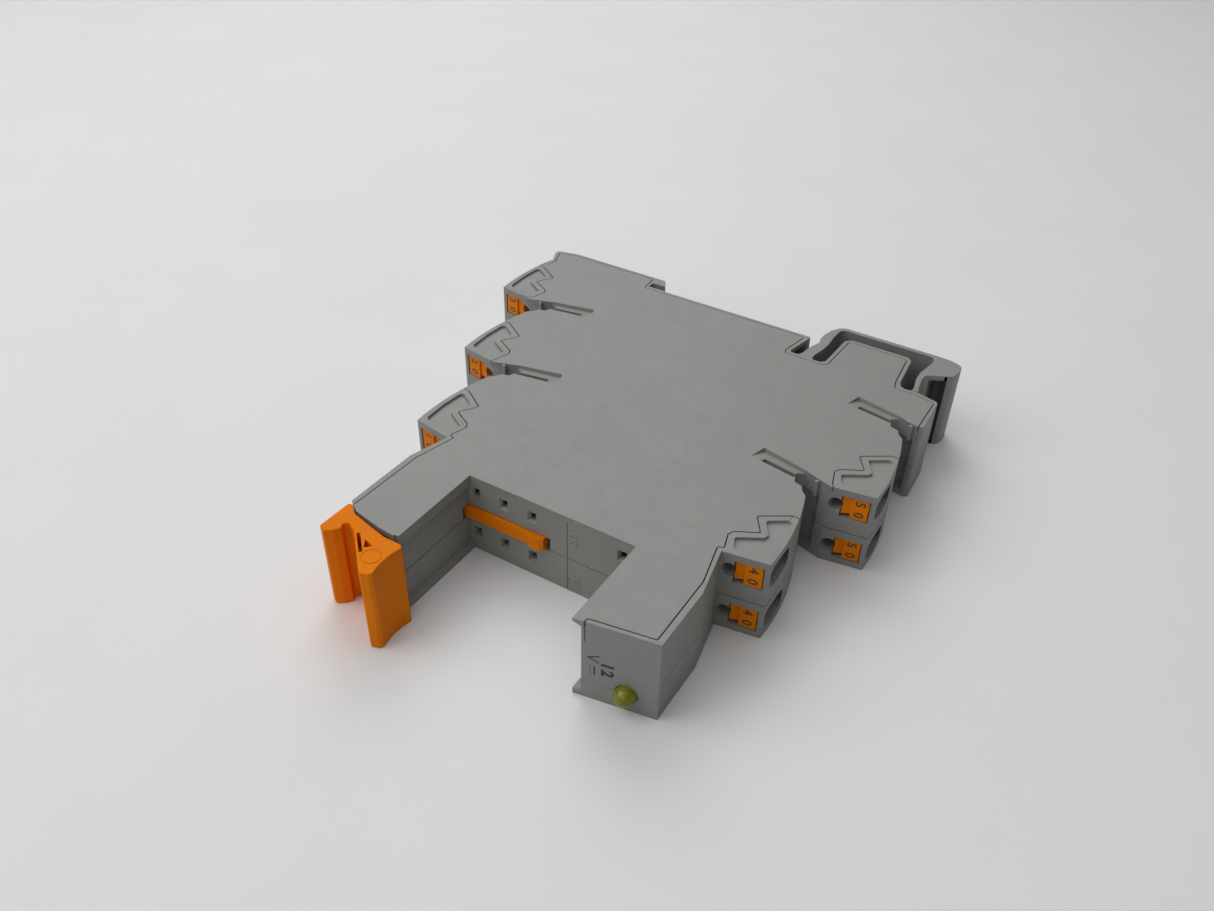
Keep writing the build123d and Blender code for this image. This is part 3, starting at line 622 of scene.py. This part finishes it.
def lamp_frame():
    """The two metal posts inside the epoxy; the wider one holds the chip's cup."""
    posts = [[(-1.0, -11.3), (-0.55, -11.3), (-0.55, -13.4), (0.15, -13.9), (0.35, -14.6), (0.1, -14.9),
              (-0.75, -14.9), (-1.0, -14.5)],
             [(0.6, -11.3), (1.0, -11.3), (1.0, -14.2), (0.72, -14.55), (0.5, -14.2), (0.45, -13.6),
              (0.6, -13.3)]]
    form = bmesh.new()
    for outline in posts:
        centre = Vector((LAMP_CENTRE[0], 0.0, LAMP_CENTRE[1]))
        extruded(form, outline, RIGHT, REAR, UP, centre, -0.22, 0.22)
    lamp_posts = piece("lamp_frame", form, MATERIALS["spring_steel"])
    add_bevel(lamp_posts, 0.05)
    shade(lamp_posts)


lamp_lens()
lamp_frame()

# ---- floor ----
mesh = bpy.data.meshes.new("floor")
form = bmesh.new()
bmesh.ops.create_grid(form, x_segments=1, y_segments=1, size=12.0)
form.to_mesh(mesh)
form.free()
floor = bpy.data.objects.new("floor", mesh)
bpy.context.scene.collection.objects.link(floor)
paper = Finish("paper", Specular_IOR_Level=0.2)
paper.colour(paper.ramp(paper.noise(30, 4), (0.3, (0.79, 0.79, 0.79)), (0.7, (0.81, 0.81, 0.81))))
paper.roughness(paper.ramp(paper.noise(3, 3), (0.3, 0.6), (0.7, 0.75)))
paper.bump(paper.noise(0.8, 3), 0.02)
dress(floor, paper.material)

# ---- light ----
world = bpy.data.worlds.new("room")
bpy.context.scene.world = world
world.use_nodes = True
background = world.node_tree.nodes["Background"]
background.inputs["Color"].default_value = (1.0, 1.0, 1.0, 1.0)
background.inputs["Strength"].default_value = 0.05
LIT_POINT = Vector((-0.03, 0.03, 0.0))


def softbox(name, place, size, power):
    """A square area light aimed at the lit point; places and sizes are in metres."""
    data = bpy.data.lights.new(name, "AREA")
    data.shape = "SQUARE"
    data.size = size
    data.energy = power
    lamp = bpy.data.objects.new(name, data)
    lamp.location = place
    lamp.rotation_euler = (LIT_POINT - Vector(place)).to_track_quat("-Z", "Y").to_euler()
    bpy.context.scene.collection.objects.link(lamp)


# One wide light overhead, two from the left and a weak one in front.
SOFTBOXES = [("overhead", (-0.06, 0.05, 0.60), 0.8, 1.9), ("rear_left", (-0.32, 0.40, 0.48), 0.5, 1.6),
             ("front_left", (-0.38, -0.30, 0.45), 0.5, 1.5), ("front", (0.10, -0.50, 0.35), 0.45, 0.4)]
for name, place, size, power in SOFTBOXES:
    softbox(name, place, size, power)

# ---- camera ----
CAMERA_PLACE = (63.552, -92.154, 110.048)
FOCAL_LENGTH = 31.44
AZIMUTH, ELEVATION, ROLL = (math.radians(value) for value in (30.951, 37.596, 1.329))
back = Vector((math.sin(AZIMUTH) * math.cos(ELEVATION), -math.cos(AZIMUTH) * math.cos(ELEVATION),
               math.sin(ELEVATION)))
right = Vector((math.cos(AZIMUTH), math.sin(AZIMUTH), 0.0))
up = back.cross(right)
turned_right = math.cos(ROLL) * right + math.sin(ROLL) * up
turned_up = math.cos(ROLL) * up - math.sin(ROLL) * right
lens = bpy.data.cameras.new("camera")
lens.sensor_width = 36.0
lens.lens = FOCAL_LENGTH
lens.clip_start = 0.01
lens.clip_end = 50.0
camera = bpy.data.objects.new("camera", lens)
axes = Matrix((turned_right, turned_up, back)).transposed().to_4x4()
camera.matrix_world = Matrix.Translation(at(*CAMERA_PLACE)) @ axes
bpy.context.scene.collection.objects.link(camera)
bpy.context.scene.camera = camera
bpy.context.scene.view_settings.view_transform = "Standard"
